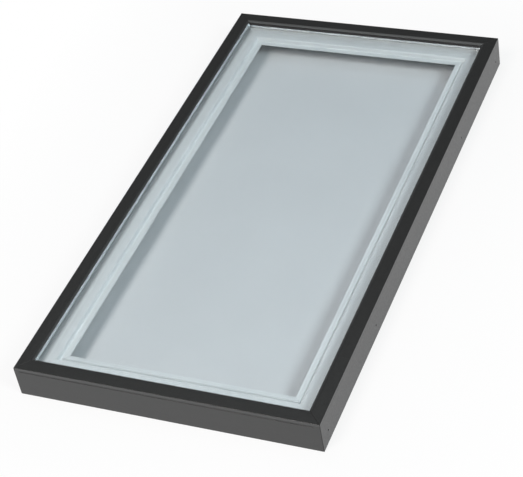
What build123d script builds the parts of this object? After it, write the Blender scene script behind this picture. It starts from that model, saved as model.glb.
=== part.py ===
from build123d import *
import os

# Fixed curb-mounted roof skylight with its frame: four mitred cap rails, a double-glazed
# unit and a welded plastic inner frame. Lengths in millimetres, +Z up, +Y towards the head,
# the upper end on a slope. The origin is the centre of the footprint, on the skirt's rim.
# Sections are drawn with x as the inset from the skirt's outer face and y as the height.

# Overall size, over the cap rails
width = 673.0
length = 1283.0
height = 76.0

# Cap rail, an aluminium extrusion with a skirt outside and a flange on top
cap_wall = 1.8
lean_drop = 8.0
lean_inset = 0.4
edge_round = 0.8
flat_inset = 26.7
nose_inset = 33.2
bevel_drop = 2.2
nose_thickness = 1.4
bead_width = 2.8
bead_height = 4.0
mitre_gap = 0.2

# Channel under the flange for the corner keys
shelf_inset = 15.0
shelf_depth = 5.0
shelf_wall = 1.2
hook_rise = 1.2
hook_width = 1.0

# Ribs under the flange that hold the glazing gasket
rib_width = 1.0
rib_depth = 1.8
outer_rib_inset = 16.5
inner_rib_inset = 27.0

# Line milled below the top edge of the sill and head skirts
line_depth = 0.7
line_height = 1.4
line_drop = 9.4
line_end_gap = 12.0

# Snap rib on the skirt, which holds the cap down on the inner frame
snap_reach = 2.1
snap_rise = 6.8
snap_land = 0.6
snap_lead = 1.8
snap_clearance = 0.2

# Holes in the side skirts for the screws into the curb
screw_hole_diameter = 4.5
screw_hole_height = 28.0
screw_hole_end_gap = 32.5
screw_hole_inner_pitch = 626.0

# Double-glazed unit
glass_depth = 6.0
pane_thickness = 3.0
cavity = 12.0
glass_inset = 16.0
pane_corner = 2.0
arris = 0.4
spacer_inset = 22.0
spacer_width = 6.5
spacer_wall = 0.8
spacer_corner = 6.0
spacer_joint = 0.2
connector_length = 60.0
fill_clearance = 0.15
butyl_thickness = 0.3
butyl_margin = 0.8
sealant_clearance = 0.1

# Glazing gaskets between the flange and the outer pane
gasket_play = 0.1
gasket_body = 2.0
gasket_web = 1.2
gasket_heel = 0.7
gasket_lip_inset = 28.6
weather_lip_inset = 39.0
weather_lip_edge = 0.3

# Bed tape between the inner pane and the ledge
tape_thickness = 1.5
tape_inset = 17.0
tape_width = 8.0
tape_mitre_gap = 0.4

# Blocks that keep the glass off the rebate wall
block_length = 60.0
block_height = 15.0
block_play = 0.1
block_end_gap = 150.0

# Inner frame, hollow plastic lengths with welded mitres
frame_gap = 1.2
frame_wall = 2.5
frame_web = 1.5
upstand_width = 10.5
upstand_gap = 0.3
frame_depth = 13.5
ledge_inset = 65.0
ledge_round = 3.0
gutter_fall_width = 1.0
gutter_depth = 11.0
gutter_cove = 1.0
gutter_width = 6.0
lip_flare = 0.5
lip_inset = 84.5
lip_drop = 6.5
lip_land = 1.0
lip_round = 0.6
lip_undercut = 9.5
bar_chamber_inset = 18.5
bar_chamber_width = 27.5
drain_width = 24.0
drain_height = 4.0
drain_pitch = 210.0
drain_count = 3

# Steel bars inside the inner frame
bar_wall = 1.5
bar_play = 0.2
bar_end_gap = 75.0

# Corner keys that join the cap rails
key_arm = 70.0
key_play = 0.2
key_bevel = 4.0

# Foam seal that beds the inner frame on the curb
seal_recess = 1.0
seal_inset = 20.0
seal_width = 26.0
seal_thickness = 6.0
seal_play = 0.5

# Places that follow from the sizes above
flange_under = height - cap_wall
nose_under = height - bevel_drop - nose_thickness
shelf_top = height - shelf_depth
shelf_under = shelf_top - shelf_wall
rib_under = flange_under - rib_depth
glass_top = height - glass_depth
cavity_top = glass_top - pane_thickness
cavity_floor = cavity_top - cavity
glass_bottom = cavity_floor - pane_thickness
ledge_top = glass_bottom - tape_thickness
frame_bottom = ledge_top - frame_depth
gutter_floor = ledge_top - gutter_depth
lip_top = ledge_top - lip_drop
snap_top = frame_bottom + snap_rise
frame_outer = cap_wall + frame_gap
rebate_inset = frame_outer + upstand_width
upstand_top = shelf_under - upstand_gap
chamber_floor = frame_bottom + seal_recess + frame_wall
chamber_top = ledge_top - frame_wall
gutter_inset = ledge_inset + gutter_fall_width
lip_outer_inset = gutter_inset + gutter_width
spacer_inner = spacer_inset + spacer_width
spacer_floor = cavity_floor + butyl_thickness
spacer_top = cavity_top - butyl_thickness

# Each side: centre of its outer face, direction inwards, direction of the profile's run
sides = {
    "sill": ((0, -length / 2, 0), (0, 1, 0), (1, 0, 0)),
    "head": ((0, length / 2, 0), (0, -1, 0), (-1, 0, 0)),
    "left": ((-width / 2, 0, 0), (1, 0, 0), (0, -1, 0)),
    "right": ((width / 2, 0, 0), (-1, 0, 0), (0, 1, 0)),
}
side_length = {"sill": width, "head": width, "left": length, "right": length}
corners = {
    "sill_left": (-1, -1),
    "sill_right": (1, -1),
    "head_left": (-1, 1),
    "head_right": (1, 1),
}


def section_plane(side):
    """Plane across a side, with x as the inset and y as the height."""
    origin, inwards, run = sides[side]
    return Plane(origin=origin, x_dir=inwards, z_dir=run)


def face_plane(side):
    """Plane on a side's outer face, with x along the side and y as the height."""
    origin, inwards, run = sides[side]
    return Plane(origin=origin, x_dir=run, z_dir=-Vector(inwards))


def mitre_plane(side, end, gap):
    """Saw cut through one end of a side, with its normal pointing off the piece."""
    plane = section_plane(side)
    corner = plane.origin + plane.z_dir * (end * side_length[side] / 2)
    normal = (plane.x_dir + plane.z_dir * end).normalized()
    return Plane(origin=corner - normal * (gap / 2), z_dir=normal)


def mitred(side, section, gap):
    """One side's length of a section, mitred at both ends."""
    with BuildPart() as piece:
        with BuildSketch(section_plane(side)):
            add(section)
        extrude(amount=side_length[side] / 2, both=True)
        for end in (-1, 1):
            split(bisect_by=mitre_plane(side, end, gap), keep=Keep.BOTTOM)
    return piece.part


def ring(outer, inner, floor, top, corner):
    """Closed loop between two insets, its bends about one centre."""
    with BuildPart() as loop:
        with BuildSketch(Plane.XY.offset(floor)):
            RectangleRounded(width - 2 * outer, length - 2 * outer, corner)
            RectangleRounded(
                width - 2 * inner,
                length - 2 * inner,
                max(corner - (inner - outer), arris),
                mode=Mode.SUBTRACT,
            )
        extrude(amount=top - floor)
    return loop.part


def save(piece, name):
    piece.part.label = name
    export_step(piece.part, f"parts/{name}.step")


os.makedirs("parts", exist_ok=True)

# Cap rails
top_corner = (lean_inset, height)
lean_corner = (0, height - lean_drop)
bevel_corner = (flat_inset, height)
with BuildSketch() as cap_section:
    with BuildLine():
        Polyline(
            (0, 0),
            lean_corner,
            top_corner,
            bevel_corner,
            (nose_inset, height - bevel_drop),
            (nose_inset, nose_under),
            (inner_rib_inset + rib_width, flange_under),
            (inner_rib_inset + rib_width, rib_under),
            (inner_rib_inset, rib_under),
            (inner_rib_inset, flange_under),
            (outer_rib_inset + rib_width, flange_under),
            (outer_rib_inset + rib_width, rib_under),
            (outer_rib_inset, rib_under),
            (outer_rib_inset, flange_under),
            (cap_wall, flange_under),
            (cap_wall, shelf_top),
            (shelf_inset - hook_width, shelf_top),
            (shelf_inset - hook_width, shelf_top + hook_rise),
            (shelf_inset, shelf_top + hook_rise),
            (shelf_inset, shelf_under),
            (cap_wall, shelf_under),
            (cap_wall, snap_top),
            (cap_wall + snap_reach, snap_top),
            (cap_wall + snap_reach, snap_top - snap_land),
            (cap_wall, snap_top - snap_land - snap_lead),
            (cap_wall, bead_height + bead_width - cap_wall),
            (bead_width, bead_height),
            (bead_width, 0),
            close=True,
        )
    make_face()
    fillet(cap_section.vertices().sort_by_distance(top_corner)[0], edge_round)

for side in sides:
    along = side_length[side] / 2
    with BuildPart() as cap_rail:
        add(mitred(side, cap_section.sketch, mitre_gap))
        if side in ("sill", "head"):
            with BuildSketch(section_plane(side)):
                with Locations((0, height - line_drop)):
                    Rectangle(2 * line_depth, line_height)
            extrude(amount=along - line_end_gap, both=True, mode=Mode.SUBTRACT)
        else:
            end_hole = along - screw_hole_end_gap
            inner_hole = screw_hole_inner_pitch / 2
            with BuildSketch(face_plane(side)):
                with Locations(*[(x, screw_hole_height) for x in
                                 (-end_hole, -inner_hole, inner_hole, end_hole)]):
                    Circle(screw_hole_diameter / 2)
            extrude(amount=-cap_wall, mode=Mode.SUBTRACT)
    save(cap_rail, f"{side}_cap_rail")

# Corner keys, flat angles crimped in the channels under the flanges
for corner, (toward_x, toward_y) in corners.items():
    key_outer = cap_wall + key_play
    key_inner = shelf_inset - hook_width - key_play
    outline = (
        (key_outer + key_bevel, key_outer),
        (key_arm, key_outer),
        (key_arm, key_inner),
        (key_inner, key_inner),
        (key_inner, key_arm),
        (key_outer, key_arm),
        (key_outer, key_outer + key_bevel),
    )
    with BuildPart() as corner_key:
        with BuildSketch(Plane.XY.offset(shelf_top + key_play / 2)):
            with BuildLine():
                Polyline(
                    *[(toward_x * (width / 2 - x), toward_y * (length / 2 - y))
                      for x, y in outline],
                    close=True,
                )
            make_face()
        extrude(amount=flange_under - shelf_top - key_play)
    save(corner_key, f"{corner}_corner_key")

# Glazing gaskets: two lips on the glass, and at the head a long weather lip
seat_outer = outer_rib_inset + rib_width + gasket_play
seat_inner = inner_rib_inset - gasket_play
seat_top = flange_under - gasket_play
body_under = seat_top - gasket_body
waist = glass_top + gasket_web
with BuildSketch() as gasket_section:
    with BuildLine():
        Polyline(
            (seat_outer, seat_top),
            (seat_inner, seat_top),
            (seat_inner, body_under),
            (gasket_lip_inset, glass_top),
            (gasket_lip_inset - 2 * gasket_heel, glass_top),
            (seat_inner - gasket_body, waist),
            (seat_outer + 2 * gasket_heel, waist),
            (seat_outer + gasket_heel, glass_top),
            (seat_outer, glass_top),
            close=True,
        )
    make_face()
with BuildSketch() as weather_section:
    with BuildLine():
        Polyline(
            (seat_outer, seat_top),
            (seat_inner, seat_top),
            (seat_inner, body_under),
            (nose_inset, body_under),
            (weather_lip_inset, glass_top + weather_lip_edge),
            (weather_lip_inset, glass_top),
            (seat_inner, glass_top),
            (seat_inner - gasket_body, waist),
            (seat_outer + 2 * gasket_heel, waist),
            (seat_outer + gasket_heel, glass_top),
            (seat_outer, glass_top),
            close=True,
        )
    make_face()
for side in sides:
    section = weather_section if side == "head" else gasket_section
    with BuildPart() as glazing_gasket:
        add(mitred(side, section.sketch, mitre_gap))
    save(glazing_gasket, f"{side}_glazing_gasket")

# Panes, with ground edges
for name, floor in (("outer_pane", cavity_top), ("inner_pane", glass_bottom)):
    with BuildPart() as pane:
        with BuildSketch(Plane.XY.offset(floor)):
            RectangleRounded(width - 2 * glass_inset, length - 2 * glass_inset, pane_corner)
        extrude(amount=pane_thickness)
        flats = pane.faces().filter_by(Axis.Z)
        chamfer(flats.edges(), arris)
    save(pane, name)

# Spacer bar, a bent hollow section with its ends joined at the head by a connector
hollow = (spacer_inset + spacer_wall, spacer_inner - spacer_wall,
          spacer_floor + spacer_wall, spacer_top - spacer_wall)
fill = (hollow[0] + fill_clearance, hollow[1] - fill_clearance,
        hollow[2] + fill_clearance, hollow[3] - fill_clearance)
joint_place = (0, length / 2 - spacer_inset - spacer_width / 2)
with BuildPart() as spacer_bar:
    add(ring(spacer_inset, spacer_inner, spacer_floor, spacer_top, spacer_corner))
    add(ring(*hollow, spacer_corner - spacer_wall), mode=Mode.SUBTRACT)
    with BuildSketch(Plane.XY.offset(cavity_floor)):
        with Locations(joint_place):
            Rectangle(spacer_joint, 2 * spacer_width)
    extrude(amount=cavity, mode=Mode.SUBTRACT)
save(spacer_bar, "spacer_bar")

with BuildPart() as spacer_connector:
    with BuildSketch(Plane.XY.offset(fill[2])):
        with Locations(joint_place):
            Rectangle(connector_length, fill[1] - fill[0])
    extrude(amount=fill[3] - fill[2])
save(spacer_connector, "spacer_connector")

with BuildPart() as desiccant_fill:
    add(ring(*fill, spacer_corner - spacer_wall - fill_clearance))
    with BuildSketch(Plane.XY.offset(cavity_floor)):
        with Locations(joint_place):
            Rectangle(connector_length + 2 * fill_clearance, 2 * spacer_width)
    extrude(amount=cavity, mode=Mode.SUBTRACT)
save(desiccant_fill, "desiccant_fill")

# Seals of the glazed unit
butyl = (spacer_inset + butyl_margin, spacer_inner - butyl_margin)
for name, floor in (("upper_butyl_seal", spacer_top), ("lower_butyl_seal", cavity_floor)):
    with BuildPart() as butyl_seal:
        add(ring(*butyl, floor, floor + butyl_thickness, spacer_corner - butyl_margin))
    save(butyl_seal, name)

with BuildPart() as edge_sealant:
    with BuildSketch(Plane.XY.offset(cavity_floor)):
        RectangleRounded(width - 2 * glass_inset, length - 2 * glass_inset, pane_corner)
        sealant_inner = spacer_inset - sealant_clearance
        RectangleRounded(
            width - 2 * sealant_inner,
            length - 2 * sealant_inner,
            spacer_corner + sealant_clearance,
            mode=Mode.SUBTRACT,
        )
    extrude(amount=cavity)
save(edge_sealant, "edge_sealant")

# Bed tape under the glass
with BuildSketch() as tape_section:
    with Locations((tape_inset + tape_width / 2, ledge_top + tape_thickness / 2)):
        Rectangle(tape_width, tape_thickness)
for side in sides:
    with BuildPart() as bed_tape:
        add(mitred(side, tape_section.sketch, tape_mitre_gap))
    save(bed_tape, f"{side}_bed_tape")

# Location blocks between the glass and the rebate wall, two on each side
block_width = glass_inset - rebate_inset - 2 * block_play
for side in sides:
    for number, end in ((1, -1), (2, 1)):
        with BuildPart() as location_block:
            with BuildSketch(section_plane(side).offset(
                    end * (side_length[side] / 2 - block_end_gap))):
                with Locations((rebate_inset + block_play + block_width / 2,
                                ledge_top + block_height / 2)):
                    Rectangle(block_width, block_height)
            extrude(amount=block_length / 2, both=True)
        save(location_block, f"{side}_location_block_{number}")

# Inner frame: upstand, glazing ledge, condensation gutter and lip, with its chambers
groove_floor = snap_top - snap_land - snap_lead - snap_clearance
groove_top = snap_top + snap_clearance
groove_inset = cap_wall + snap_reach + snap_clearance
ledge_corner = (ledge_inset, ledge_top)
gutter_corner = (gutter_inset, gutter_floor)
lip_corner = (lip_inset, lip_top)
lip_outer_corner = (lip_outer_inset + lip_flare, lip_top)
with BuildSketch() as frame_section:
    with BuildLine():
        Polyline(
            (frame_outer, frame_bottom),
            (frame_outer, groove_floor),
            (groove_inset, groove_floor),
            (groove_inset, groove_top),
            (frame_outer, groove_top),
            (frame_outer, upstand_top),
            (rebate_inset, upstand_top),
            (rebate_inset, ledge_top),
            ledge_corner,
            gutter_corner,
            (lip_outer_inset, gutter_floor),
            lip_outer_corner,
            lip_corner,
            (lip_inset, lip_top - lip_land),
            (lip_inset - lip_undercut, frame_bottom),
            (seal_inset + seal_width + seal_play, frame_bottom),
            (seal_inset + seal_width + seal_play, frame_bottom + seal_recess),
            (seal_inset - seal_play, frame_bottom + seal_recess),
            (seal_inset - seal_play, frame_bottom),
            close=True,
        )
    make_face()
    fillet(frame_section.vertices().sort_by_distance(ledge_corner)[0], ledge_round)
    fillet(frame_section.vertices().sort_by_distance(gutter_corner)[0], gutter_cove)
    fillet(frame_section.vertices().sort_by_distance(lip_corner)[0], lip_round)
    fillet(frame_section.vertices().sort_by_distance(lip_outer_corner)[0], lip_round)
    chamber_height = chamber_top - chamber_floor
    chamber_middle = (chamber_top + chamber_floor) / 2
    bar_chamber_end = bar_chamber_inset + bar_chamber_width
    for start, end in (
        (groove_inset + frame_web, bar_chamber_inset - frame_web),
        (bar_chamber_inset, bar_chamber_end),
        (bar_chamber_end + frame_web, ledge_inset - frame_wall),
    ):
        with Locations(((start + end) / 2, chamber_middle)):
            Rectangle(end - start, chamber_height, mode=Mode.SUBTRACT)
    chamber_corner = (ledge_inset - frame_wall, chamber_top)
    fillet(frame_section.vertices().sort_by_distance(chamber_corner)[0], ledge_round - frame_wall)
    upstand_floor = chamber_top + frame_web
    upstand_height = upstand_top - frame_wall - upstand_floor
    with Locations(((frame_outer + rebate_inset) / 2, upstand_floor + upstand_height / 2)):
        Rectangle(upstand_width - 2 * frame_wall, upstand_height, mode=Mode.SUBTRACT)

for side in sides:
    with BuildPart() as inner_frame:
        add(mitred(side, frame_section.sketch, 0))
        if side == "sill":
            with BuildSketch(face_plane(side)):
                with Locations((0, ledge_top + drain_height / 2)):
                    with GridLocations(drain_pitch, 0, drain_count, 1):
                        SlotOverall(drain_width, drain_height)
            extrude(amount=-(rebate_inset + block_play), mode=Mode.SUBTRACT)
    save(inner_frame, f"{side}_inner_frame")

# Steel box bars in the inner frame's middle chamber
for side in sides:
    bar_width = bar_chamber_width - 2 * bar_play
    bar_height = chamber_height - 2 * bar_play
    with BuildPart() as steel_bar:
        with BuildSketch(section_plane(side)):
            with Locations((bar_chamber_inset + bar_chamber_width / 2, chamber_middle)):
                Rectangle(bar_width, bar_height)
                Rectangle(bar_width - 2 * bar_wall, bar_height - 2 * bar_wall,
                          mode=Mode.SUBTRACT)
        extrude(amount=side_length[side] / 2 - bar_end_gap, both=True)
    save(steel_bar, f"{side}_steel_bar")

# Foam seal under the inner frame
seal_top = frame_bottom + seal_recess
with BuildSketch() as seal_section:
    with Locations((seal_inset + seal_width / 2, seal_top - seal_thickness / 2)):
        Rectangle(seal_width, seal_thickness)
for side in sides:
    with BuildPart() as curb_seal:
        add(mitred(side, seal_section.sketch, tape_mitre_gap))
    save(curb_seal, f"{side}_curb_seal")
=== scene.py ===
from math import cos, pi, radians, sin

import bmesh
import bpy
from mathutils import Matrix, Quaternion, Vector


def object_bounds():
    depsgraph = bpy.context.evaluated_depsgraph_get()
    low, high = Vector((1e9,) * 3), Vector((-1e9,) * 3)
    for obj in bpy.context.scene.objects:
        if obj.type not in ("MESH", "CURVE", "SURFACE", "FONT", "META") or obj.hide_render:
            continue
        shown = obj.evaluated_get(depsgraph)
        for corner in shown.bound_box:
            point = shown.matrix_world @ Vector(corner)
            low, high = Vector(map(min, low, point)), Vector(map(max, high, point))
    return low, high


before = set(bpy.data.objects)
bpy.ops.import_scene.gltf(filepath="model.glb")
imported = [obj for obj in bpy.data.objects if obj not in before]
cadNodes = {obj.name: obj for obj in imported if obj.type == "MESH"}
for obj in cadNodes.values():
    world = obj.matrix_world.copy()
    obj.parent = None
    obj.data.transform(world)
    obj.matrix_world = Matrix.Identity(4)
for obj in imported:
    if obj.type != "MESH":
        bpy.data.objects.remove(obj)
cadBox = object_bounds()
sideNames = ("sill", "head", "left", "right")
cornerNames = ("sill_left", "sill_right", "head_left", "head_right")
mm = 0.001
print("frame loaded with", len(cadNodes), "nodes")


# Camera

cameraView = {
    "target": (0.0293, -0.1596, 0.0760),  # where the middle of the picture meets the flange's plane
    "distance": 3.7232,
    "azimuth": 28.42,  # degrees
    "elevation": 40.75,
    "roll": -11.02,
    "lens": 118.6,
}


def directionTo(azimuth, elevation):
    # unit vector from the object, azimuth 0 is in front of the sill
    a, e = radians(azimuth), radians(elevation)
    return Vector((sin(a) * cos(e), -cos(a) * cos(e), sin(e)))


def addCamera(view):
    data = bpy.data.cameras.new("camera")
    data.lens = view["lens"]
    camera = bpy.data.objects.new("camera", data)
    back = directionTo(view["azimuth"], view["elevation"])
    camera.location = Vector(view["target"]) + back * view["distance"]
    camera.rotation_mode = "QUATERNION"
    aim = (-back).to_track_quat("-Z", "Y")
    camera.rotation_quaternion = aim @ Quaternion((0, 0, 1), radians(view["roll"]))
    bpy.context.scene.collection.objects.link(camera)
    bpy.context.scene.camera = camera


addCamera(cameraView)
bpy.context.scene.view_settings.view_transform = "Standard"
print("camera in place")


# Node helpers

def addNode(tree, kind, **settings):
    node = tree.nodes.new(kind)
    for name, value in settings.items():
        setattr(node, name, value)
    return node


def feed(tree, node, values):
    # puts plain values or other nodes' outputs into a node's named or numbered inputs
    for name, value in values.items():
        if isinstance(value, bpy.types.NodeSocket):
            tree.links.new(value, node.inputs[name])
        else:
            node.inputs[name].default_value = value
    return node


def mathNode(tree, operation, *values):
    node = addNode(tree, "ShaderNodeMath", operation=operation)
    return feed(tree, node, dict(enumerate(values))).outputs[0]


def remap(tree, value, low, high, toLow, toHigh):
    node = addNode(tree, "ShaderNodeMapRange")
    feed(tree, node, {"Value": value, "From Min": low, "From Max": high,
                      "To Min": toLow, "To Max": toHigh})
    return node.outputs["Result"]


def startGroup(name, inputs, outputs):
    # inputs are name: (socket type, default), outputs are name: socket type
    group = bpy.data.node_groups.new(name, "ShaderNodeTree")
    for label, (kind, default) in inputs.items():
        socket = group.interface.new_socket(label, in_out="INPUT", socket_type=kind)
        socket.default_value = default
    for label, kind in outputs.items():
        group.interface.new_socket(label, in_out="OUTPUT", socket_type=kind)
    entry = group.nodes.new("NodeGroupInput")
    result = group.nodes.new("NodeGroupOutput")
    return group, entry.outputs, result


# Effects that several finishes share

def makeGrainGroup():
    # even speckle, as in powder coat, plastic or rubber, from the noise's middle range
    group, given, result = startGroup(
        "grain",
        {"Scale": ("NodeSocketFloat", 800.0), "Detail": ("NodeSocketFloat", 3.0)},
        {"Mask": "NodeSocketFloat"},
    )
    place = addNode(group, "ShaderNodeTexCoord").outputs["Object"]
    noise = addNode(group, "ShaderNodeTexNoise")
    feed(group, noise, {"Vector": place, "Scale": given["Scale"], "Detail": given["Detail"]})
    mask = remap(group, noise.outputs["Fac"], 0.3, 0.7, 0.0, 1.0)
    feed(group, result, {"Mask": mask})
    return group


def makeStreaksGroup():
    # lines that run along a drawn or extruded length
    group, given, result = startGroup(
        "streaks",
        {"Stretch": ("NodeSocketVector", (1.0, 1.0, 1.0)), "Contrast": ("NodeSocketFloat", 1.0)},
        {"Mask": "NodeSocketFloat"},
    )
    place = addNode(group, "ShaderNodeTexCoord").outputs["Object"]
    stretched = addNode(group, "ShaderNodeVectorMath", operation="MULTIPLY")
    feed(group, stretched, {0: place, 1: given["Stretch"]})
    noise = addNode(group, "ShaderNodeTexNoise")
    feed(group, noise, {"Vector": stretched.outputs[0], "Scale": 1.0, "Detail": 4.0})
    centred = mathNode(group, "SUBTRACT", noise.outputs["Fac"], 0.5)
    scaled = mathNode(group, "MULTIPLY", centred, given["Contrast"])
    mask = mathNode(group, "ADD", scaled, 0.5)
    feed(group, result, {"Mask": mask})
    return group


def makeCellsGroup():
    # packed cells, as in foam, beads or zinc spangle
    group, given, result = startGroup(
        "cells",
        {"Scale": ("NodeSocketFloat", 900.0)},
        {"Mask": "NodeSocketFloat", "Dome": "NodeSocketFloat"},
    )
    place = addNode(group, "ShaderNodeTexCoord").outputs["Object"]
    cells = addNode(group, "ShaderNodeTexVoronoi")
    feed(group, cells, {"Vector": place, "Scale": given["Scale"]})
    shade = addNode(group, "ShaderNodeSeparateColor")
    feed(group, shade, {"Color": cells.outputs["Color"]})
    dome = remap(group, cells.outputs["Distance"], 0.0, 0.7, 1.0, 0.0)
    feed(group, result, {"Mask": shade.outputs["Red"], "Dome": dome})
    return group


def makeToneGroup():
    # lightens and darkens a colour by a mask
    group, given, result = startGroup(
        "tone",
        {"Color": ("NodeSocketColor", (0.5, 0.5, 0.5, 1.0)), "Mask": ("NodeSocketFloat", 0.5),
         "Amount": ("NodeSocketFloat", 0.1)},
        {"Color": "NodeSocketColor"},
    )
    centred = mathNode(group, "SUBTRACT", given["Mask"], 0.5)
    factor = mathNode(group, "MULTIPLY_ADD", centred, given["Amount"], 1.0)
    scaled = addNode(group, "ShaderNodeVectorMath", operation="SCALE")
    feed(group, scaled, {0: given["Color"], "Scale": factor})
    feed(group, result, {"Color": scaled.outputs[0]})
    return group


def makeSeamGroup():
    # 0 on the mitre lines, 0.5 elsewhere
    group, given, result = startGroup(
        "seam",
        {"Offset": ("NodeSocketFloat", 0.3), "Width": ("NodeSocketFloat", 0.0008)},
        {"Mask": "NodeSocketFloat"},
    )
    place = addNode(group, "ShaderNodeSeparateXYZ")
    feed(group, place, {0: addNode(group, "ShaderNodeTexCoord").outputs["Object"]})
    across = mathNode(group, "ABSOLUTE", place.outputs[0])
    along = mathNode(group, "ABSOLUTE", place.outputs[1])
    off = mathNode(group, "SUBTRACT", mathNode(group, "SUBTRACT", along, across), given["Offset"])
    distance = mathNode(group, "ABSOLUTE", off)
    mask = remap(group, distance, 0.0, given["Width"], 0.0, 0.5)
    feed(group, result, {"Mask": mask})
    return group


def makeBandGroup():
    # 1 in a band between two distances from the middle along an axis, 0.5 elsewhere
    group, given, result = startGroup(
        "band",
        {"Axis": ("NodeSocketVector", (0.0, 0.0, 1.0)), "Low": ("NodeSocketFloat", 0.070),
         "High": ("NodeSocketFloat", 0.075), "Blend": ("NodeSocketFloat", 0.001)},
        {"Mask": "NodeSocketFloat"},
    )
    place = addNode(group, "ShaderNodeTexCoord").outputs["Object"]
    mirrored = addNode(group, "ShaderNodeVectorMath", operation="ABSOLUTE")
    feed(group, mirrored, {0: place})
    along = addNode(group, "ShaderNodeVectorMath", operation="DOT_PRODUCT")
    distance = feed(group, along, {0: mirrored.outputs[0], 1: given["Axis"]}).outputs["Value"]
    above = mathNode(group, "SUBTRACT", distance, given["Low"])
    below = mathNode(group, "SUBTRACT", given["High"], distance)
    inside = mathNode(group, "MINIMUM", above, below)
    mask = remap(group, inside, 0.0, given["Blend"], 0.5, 1.0)
    feed(group, result, {"Mask": mask})
    return group


def makeSoftEdgeGroup():
    # a normal that rounds sharp edges by a small radius
    group, given, result = startGroup(
        "softEdge",
        {"Radius": ("NodeSocketFloat", 0.0004)},
        {"Normal": "NodeSocketVector"},
    )
    bevel = addNode(group, "ShaderNodeBevel", samples=4)
    feed(group, bevel, {"Radius": given["Radius"]})
    feed(group, result, {"Normal": bevel.outputs[0]})
    return group


effects = {
    "grain": makeGrainGroup(),
    "streaks": makeStreaksGroup(),
    "cells": makeCellsGroup(),
    "tone": makeToneGroup(),
    "seam": makeSeamGroup(),
    "band": makeBandGroup(),
    "softEdge": makeSoftEdgeGroup(),
}
print("shared effects built")


def useEffect(tree, name, values):
    node = addNode(tree, "ShaderNodeGroup", node_tree=effects[name])
    return feed(tree, node, values).outputs


def startMaterial(name):
    material = bpy.data.materials.new(name)
    material.use_nodes = True
    tree = material.node_tree
    return material, tree, tree.nodes["Principled BSDF"], tree.nodes["Material Output"]


def makeFinish(name, look):
    # a solid finish: each layer is (effect, its values, output, tone, roughness, bump in mm)
    material, tree, shader, _ = startMaterial(name)
    color = (*look["color"], 1.0)
    rough = look["roughness"]
    normal = useEffect(tree, "softEdge", {"Radius": look.get("edge", 0.3) * mm})["Normal"]
    for effect, values, output, tone, roughShift, height in look["layers"]:
        mask = useEffect(tree, effect, values)[output]
        if tone:
            color = useEffect(tree, "tone", {"Color": color, "Mask": mask, "Amount": tone})["Color"]
        if roughShift:
            centred = mathNode(tree, "SUBTRACT", mask, 0.5)
            rough = mathNode(tree, "MULTIPLY_ADD", centred, roughShift, rough)
        if height:
            bump = addNode(tree, "ShaderNodeBump")
            feed(tree, bump, {"Height": mask, "Distance": height * mm, "Normal": normal})
            normal = bump.outputs["Normal"]
    if "bounce" in look:
        bounced = addNode(tree, "ShaderNodeLightPath").outputs["Is Diffuse Ray"]
        dimmed = addNode(tree, "ShaderNodeVectorMath", operation="SCALE")
        feed(tree, dimmed, {0: color, "Scale": remap(tree, bounced, 0.0, 1.0, 1.0, look["bounce"])})
        color = dimmed.outputs[0]
    feed(tree, shader, {"Base Color": color, "Roughness": rough, "Normal": normal,
                        "Metallic": look.get("metallic", 0.0),
                        "Specular IOR Level": look.get("specular", 0.5)})
    return material


def alongRun(side, across, along):
    # stretch of streaks that follow the run of a side
    return (along, across, across) if side in ("sill", "head") else (across, along, across)


def dress(nodeName, material):
    cadNodes[nodeName].data.materials.clear()
    cadNodes[nodeName].data.materials.append(material)


# Cap rails, dark powder coat

capPaint = {
    "color": (0.0125, 0.0132, 0.0132),
    "roughness": 0.38,
    "specular": 0.85,
    "edge": 0.8,  # mm, how far sharp edges look rounded
    "grain": 1400.0,
    "grainTone": 0.10,
    "grainBump": 0.012,
    "mottle": 240.0,
    "mottleTone": 0.40,
    "mottleBump": 0.02,
    "streaks": (220.0, 3.0),  # stretch across a rail and along it
    "streakTone": 0.25,
    "paintedHighlightHeights": (70.3, 75.7),  # mm, a painted highlight: the skirt's top strip drawn lighter
    "paintedHighlightTone": 4.2,
    "seamWidth": 1.2,  # mm
    "seamTone": 1.8,
    "seamBump": 0.6,
}
mitreOffset = cadBox[1][1] - cadBox[1][0]
highlightLow, highlightHigh = capPaint["paintedHighlightHeights"]

for side in sideNames:
    look = dict(capPaint, layers=(
        ("grain", {"Scale": capPaint["grain"]}, "Mask",
         capPaint["grainTone"], 0.08, capPaint["grainBump"]),
        ("grain", {"Scale": capPaint["mottle"]}, "Mask",
         capPaint["mottleTone"], 0.10, capPaint["mottleBump"]),
        ("streaks", {"Stretch": alongRun(side, *capPaint["streaks"])}, "Mask",
         capPaint["streakTone"], 0.05, 0.0),
        # painted highlight along the skirt's top edge
        ("band", {"Low": highlightLow * mm, "High": highlightHigh * mm}, "Mask", capPaint["paintedHighlightTone"], 0.0, 0.0),
        ("seam", {"Offset": mitreOffset, "Width": capPaint["seamWidth"] * mm}, "Mask",
         capPaint["seamTone"], -0.8, capPaint["seamBump"]),
    ))
    dress(f"{side}_cap_rail", makeFinish(f"capPaint_{side}", look))
print("cap rails painted")


# Inner frame, white extruded plastic

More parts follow.
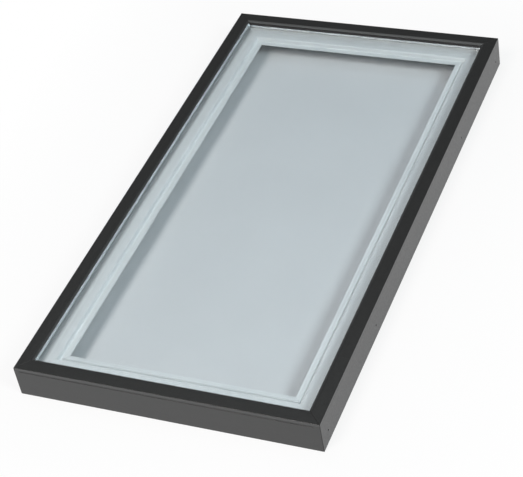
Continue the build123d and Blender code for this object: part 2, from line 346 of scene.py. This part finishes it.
framePlastic = {
    "color": (0.87, 0.882, 0.874),
    "roughness": 0.34,
    "edge": 1.2,
    "streaks": (150.0, 2.0),
    "streakTone": 0.20,
    "fineStreaks": (420.0, 7.0),
    "fineTone": 0.16,
    "cloud": 40.0,
    "cloudTone": 0.02,
    "weldWidth": 0.7,  # mm
    "weldTone": 0.30,
    "paintedLightBands": {  # painted shade and light along ledge, gutter and lip: from, to and blend in mm off the edge, and tone
        # sill: painted shade along the gutter; head: painted shade on the ledge
        "sill": ((71.5, 75.0, 1.0, -0.30),),
        "head": ((56.0, 62.0, 1.0, -0.12),),
        # left: a painted shadow on the ledge beside the spacer, then painted light on the gutter
        "left": ((20.0, 45.0, 8.0, -0.66), (64.5, 70.8, 1.0, 0.18)),
        # right: painted light on the gutter, and a painted highlight on the lip's edge
        "right": ((64.5, 71.2, 1.0, 0.22), (79.0, 86.0, 1.0, 0.16)),
    },
}


def bandAt(axis, start, end, blend):
    # a band's values, from mm off the outer edge along x (0) or y (1)
    edge = cadBox[1][axis]
    return {"Axis": (1 - axis, axis, 0), "Low": edge - end * mm, "High": edge - start * mm,
            "Blend": blend * mm}


# bands of painted shade and painted light for one side of the inner frame
def paintedLightLayers(side):
    axis = 1 if side in ("sill", "head") else 0
    return tuple(
        ("band", bandAt(axis, start, end, blend), "Mask", tone, 0.0, 0.0)
        for start, end, blend, tone in framePlastic["paintedLightBands"][side])


for side in sideNames:
    look = dict(framePlastic, layers=(
        ("streaks", {"Stretch": alongRun(side, *framePlastic["streaks"])}, "Mask",
         framePlastic["streakTone"], 0.10, 0.02),
        ("streaks", {"Stretch": alongRun(side, *framePlastic["fineStreaks"])}, "Mask",
         framePlastic["fineTone"], 0.05, 0.01),
        ("grain", {"Scale": framePlastic["cloud"]}, "Mask", framePlastic["cloudTone"], 0.04, 0.0),
        ("seam", {"Offset": mitreOffset, "Width": framePlastic["weldWidth"] * mm}, "Mask",
         framePlastic["weldTone"], -0.2, 0.1),
    ) + paintedLightLayers(side))
    dress(f"{side}_inner_frame", makeFinish(f"framePlastic_{side}", look))
print("inner frame finished")


# Glazing gaskets, butyl and edge sealant

gasketRubber = {
    "color": (0.018, 0.018, 0.019),
    "roughness": 0.55,
    "layers": (
        ("grain", {"Scale": 2200.0}, "Mask", 0.15, 0.10, 0.01),
        ("grain", {"Scale": 90.0}, "Mask", 0.20, 0.15, 0.0),
    ),
}
butylSeal = {
    "color": (0.020, 0.020, 0.021),
    "roughness": 0.45,
    "layers": (
        ("grain", {"Scale": 500.0}, "Mask", 0.20, 0.20, 0.05),
    ),
}
edgeSealant = {
    "color": (0.024, 0.024, 0.025),
    "roughness": 0.62,
    "layers": (
        ("grain", {"Scale": 160.0}, "Mask", 0.20, 0.20, 0.15),
        ("grain", {"Scale": 1500.0}, "Mask", 0.15, 0.10, 0.02),
    ),
}

rubber = makeFinish("gasketRubber", gasketRubber)
for side in sideNames:
    dress(f"{side}_glazing_gasket", rubber)
butyl = makeFinish("butylSeal", butylSeal)
dress("upper_butyl_seal", butyl)
dress("lower_butyl_seal", butyl)
dress("edge_sealant", makeFinish("edgeSealant", edgeSealant))


# Spacer bar, connector and bead fill

spacerMetal = {
    "color": (0.74, 0.78, 0.80),
    "roughness": 0.55,
    "metallic": 1.0,
    "bounce": 0.05,  # share of its gleam that falls on the ledge
    "edge": 0.2,
    "layers": (
        ("streaks", {"Stretch": (12.0, 12.0, 6000.0)}, "Mask", 0.12, 0.15, 0.002),
        ("grain", {"Scale": 300.0}, "Mask", 0.04, 0.06, 0.0),
        ("band", bandAt(0, 20.0, 30.0, 1.0), "Mask", 0.48, 0.0, 0.0),  # painted light: the long lengths drawn lighter, for the light they catch
    ),
}
keyMetal = {
    "color": (0.62, 0.63, 0.64),
    "roughness": 0.45,
    "metallic": 1.0,
    "layers": (
        ("streaks", {"Stretch": (15.0, 15.0, 2500.0)}, "Mask", 0.15, 0.20, 0.004),
        ("grain", {"Scale": 700.0}, "Mask", 0.06, 0.10, 0.004),
    ),
}
desiccantBead = {
    "color": (0.58, 0.50, 0.38),
    "roughness": 0.8,
    "layers": (
        # painted shade: each bead lighter on its crown and darker where beads meet
        ("cells", {"Scale": 1100.0}, "Dome", 0.35, 0.05, 0.35),
        ("cells", {"Scale": 1100.0}, "Mask", 0.25, 0.0, 0.0),
    ),
}

keyFinish = makeFinish("keyMetal", keyMetal)
dress("spacer_bar", makeFinish("spacerMetal", spacerMetal))
dress("spacer_connector", keyFinish)
dress("desiccant_fill", makeFinish("desiccantBead", desiccantBead))
for corner in cornerNames:
    dress(f"{corner}_corner_key", keyFinish)


# Hidden carriers: bed tape, location blocks, steel bars and curb seal

tapeFoam = {
    "color": (0.72, 0.72, 0.69),
    "roughness": 0.85,
    "layers": (
        # painted shade: each cell lighter in its middle and darker where cells meet
        ("cells", {"Scale": 1600.0}, "Dome", 0.12, 0.0, 0.10),
        ("grain", {"Scale": 200.0}, "Mask", 0.06, 0.05, 0.0),
    ),
}
blockPlastic = {
    "color": (0.030, 0.032, 0.035),
    "roughness": 0.5,
    "layers": (
        ("grain", {"Scale": 900.0}, "Mask", 0.15, 0.12, 0.02),
        ("grain", {"Scale": 80.0}, "Mask", 0.12, 0.08, 0.0),
    ),
}
barSteel = {
    "color": (0.55, 0.56, 0.57),
    "roughness": 0.42,
    "metallic": 1.0,
    "layers": (
        ("cells", {"Scale": 110.0}, "Mask", 0.30, 0.25, 0.0),
        ("grain", {"Scale": 1200.0}, "Mask", 0.06, 0.08, 0.004),
    ),
}
sealFoam = {
    "color": (0.52, 0.53, 0.54),
    "roughness": 0.9,
    "layers": (
        # painted shade: each cell lighter in its middle and darker where cells meet
        ("cells", {"Scale": 1100.0}, "Dome", 0.20, 0.0, 0.18),
        ("grain", {"Scale": 250.0}, "Mask", 0.10, 0.05, 0.05),
    ),
}

tape, steel, foam, block = (
    makeFinish("tapeFoam", tapeFoam), makeFinish("barSteel", barSteel),
    makeFinish("sealFoam", sealFoam), makeFinish("blockPlastic", blockPlastic))
for side in sideNames:
    dress(f"{side}_bed_tape", tape)
    dress(f"{side}_steel_bar", steel)
    dress(f"{side}_curb_seal", foam)
    for number in (1, 2):
        dress(f"{side}_location_block_{number}", block)
print("seals, spacer and carriers finished")


# Panes, clear float glass that lets lamps through

paneGlass = {
    "color": (0.928, 0.955, 0.967),
    "shadowTint": (0.962, 0.973, 0.978),
    "ior": 1.5,
    "waveScale": 6.0,
    "waveTone": 0.01,
    "waveHeight": 0.02,  # mm
}


def makeGlass(look):
    material, tree, shader, output = startMaterial("paneGlass")
    wave = useEffect(tree, "grain", {"Scale": look["waveScale"], "Detail": 1.0})["Mask"]
    bump = addNode(tree, "ShaderNodeBump")
    feed(tree, bump, {"Height": wave, "Distance": look["waveHeight"] * mm})
    tint = useEffect(tree, "tone", {"Color": (*look["color"], 1.0), "Mask": wave,
                                    "Amount": look["waveTone"]})["Color"]
    feed(tree, shader, {"Base Color": tint, "Roughness": 0.0, "IOR": look["ior"],
                        "Transmission Weight": 1.0, "Normal": bump.outputs["Normal"]})
    clear = addNode(tree, "ShaderNodeBsdfTransparent")
    feed(tree, clear, {"Color": (*look["shadowTint"], 1.0)})
    path = addNode(tree, "ShaderNodeLightPath").outputs
    passing = mathNode(tree, "MAXIMUM", path["Is Shadow Ray"], path["Is Diffuse Ray"])
    mix = addNode(tree, "ShaderNodeMixShader")
    feed(tree, mix, {0: passing, 1: shader.outputs[0], 2: clear.outputs[0]})
    feed(tree, output, {"Surface": mix.outputs[0]})
    return material


glass = makeGlass(paneGlass)
dress("outer_pane", glass)
dress("inner_pane", glass)
print("panes finished")


# Floor, white to the camera away from the object, with the object's shadow kept

floorLook = {
    "color": (0.82, 0.82, 0.82),
    "roughness": 0.9,
    "grain": 3.0,
    "grainTone": 0.01,
    "side": 24.0,  # m
    "drop": 0.0002,  # m below the object
    "lift": 0.85,  # share of plain white beside the object
    "fade": 0.5,  # m past the object, over which the floor turns plain white
}


def showsBackground(tree):
    # 1 for rays that show the background: camera, glossy and transmission
    path = addNode(tree, "ShaderNodeLightPath").outputs
    seen = mathNode(tree, "MAXIMUM", path["Is Camera Ray"], path["Is Glossy Ray"])
    return mathNode(tree, "MAXIMUM", seen, path["Is Transmission Ray"])


def addFloor(look):
    mesh = bpy.data.meshes.new("floor")
    shape = bmesh.new()
    bmesh.ops.create_grid(shape, x_segments=1, y_segments=1, size=look["side"] / 2)
    shape.to_mesh(mesh)
    shape.free()
    floor = bpy.data.objects.new("floor", mesh)
    floor.location.z = -look["drop"]
    bpy.context.scene.collection.objects.link(floor)
    material, tree, shader, output = startMaterial("floor")
    grain = useEffect(tree, "grain", {"Scale": look["grain"]})["Mask"]
    color = useEffect(tree, "tone", {"Color": (*look["color"], 1.0), "Mask": grain,
                                     "Amount": look["grainTone"]})["Color"]
    feed(tree, shader, {"Base Color": color, "Roughness": look["roughness"],
                        "Specular IOR Level": 0.0})
    white = addNode(tree, "ShaderNodeEmission")
    place = addNode(tree, "ShaderNodeSeparateXYZ")
    feed(tree, place, {0: addNode(tree, "ShaderNodeTexCoord").outputs["Object"]})
    past = [mathNode(tree, "SUBTRACT", mathNode(tree, "ABSOLUTE", place.outputs[axis]),
                     cadBox[1][axis]) for axis in (0, 1)]
    gap = mathNode(tree, "MAXIMUM", *past)
    outside = mathNode(tree, "GREATER_THAN", gap, 0.0)
    share = remap(tree, gap, 0.0, look["fade"], look["lift"], 1.0)
    share = mathNode(tree, "MULTIPLY", share, outside)
    share = mathNode(tree, "MULTIPLY", share, showsBackground(tree))
    mix = addNode(tree, "ShaderNodeMixShader")
    feed(tree, mix, {0: share, 1: shader.outputs[0], 2: white.outputs[0]})
    feed(tree, output, {"Surface": mix.outputs[0]})
    mesh.materials.append(material)


addFloor(floorLook)
print("floor laid")


# Light: a pale room, and soft lamps given by the level that each brings to the floor

roomLight = {
    "ambient": (0.184, 0.222, 0.256),  # what lights matt surfaces
    "ceiling": 0.12,  # what mirrors see above the horizon
    "fade": 0.05,  # height of a direction, from 0 to 1, over which white fades to the ceiling
}
lamps = {
    "frontLamp": {"azimuth": -16.0, "elevation": 55.0, "distance": 6.0, "size": 2.0,
                  "level": 0.446, "color": (1.0, 0.896, 0.842)},
    "rightLamp": {"azimuth": 66.0, "elevation": 40.0, "distance": 9.0, "size": 2.3,
                  "level": 0.30, "color": (0.945, 0.995, 1.0)},
    "topLamp": {"azimuth": 228.0, "elevation": 70.0, "distance": 16.0, "size": 6.4,
                "level": 0.095, "color": (0.945, 0.995, 1.0)},
}


def makeWorld(look):
    world = bpy.data.worlds.new("room")
    world.use_nodes = True
    tree = world.node_tree
    tree.nodes.clear()
    place = addNode(tree, "ShaderNodeSeparateXYZ")
    feed(tree, place, {0: addNode(tree, "ShaderNodeTexCoord").outputs["Generated"]})
    overhead = remap(tree, place.outputs[2], 0.0, look["fade"], 1.0, look["ceiling"])
    path = addNode(tree, "ShaderNodeLightPath").outputs
    mirrored = mathNode(tree, "MAXIMUM", path["Is Glossy Ray"], path["Is Transmission Ray"])
    brightness = addNode(tree, "ShaderNodeMix", data_type="FLOAT")
    feed(tree, brightness, {0: mirrored, 2: 1.0, 3: overhead})
    seen = addNode(tree, "ShaderNodeBackground")
    feed(tree, seen, {"Strength": brightness.outputs[0], "Color": (1, 1, 1, 1)})
    lit = addNode(tree, "ShaderNodeBackground")
    feed(tree, lit, {"Color": (*look["ambient"], 1.0)})
    mix = addNode(tree, "ShaderNodeMixShader")
    feed(tree, mix, {0: showsBackground(tree), 1: lit.outputs[0], 2: seen.outputs[0]})
    feed(tree, addNode(tree, "ShaderNodeOutputWorld"), {"Surface": mix.outputs[0]})
    bpy.context.scene.world = world


def addLamp(name, lamp):
    # the energy follows from the level, the distance and the slant of the light
    data = bpy.data.lights.new(name, "AREA")
    data.size = lamp["size"]
    data.color = lamp["color"]
    towards = directionTo(lamp["azimuth"], lamp["elevation"])
    data.energy = lamp["level"] * pi ** 2 * lamp["distance"] ** 2 / towards.z
    ob = bpy.data.objects.new(name, data)
    ob.location = towards * lamp["distance"]
    ob.rotation_mode = "QUATERNION"
    ob.rotation_quaternion = (-towards).to_track_quat("-Z", "Y")
    bpy.context.scene.collection.objects.link(ob)


makeWorld(roomLight)
for lampName, lamp in lamps.items():
    addLamp(lampName, lamp)
print("light set")
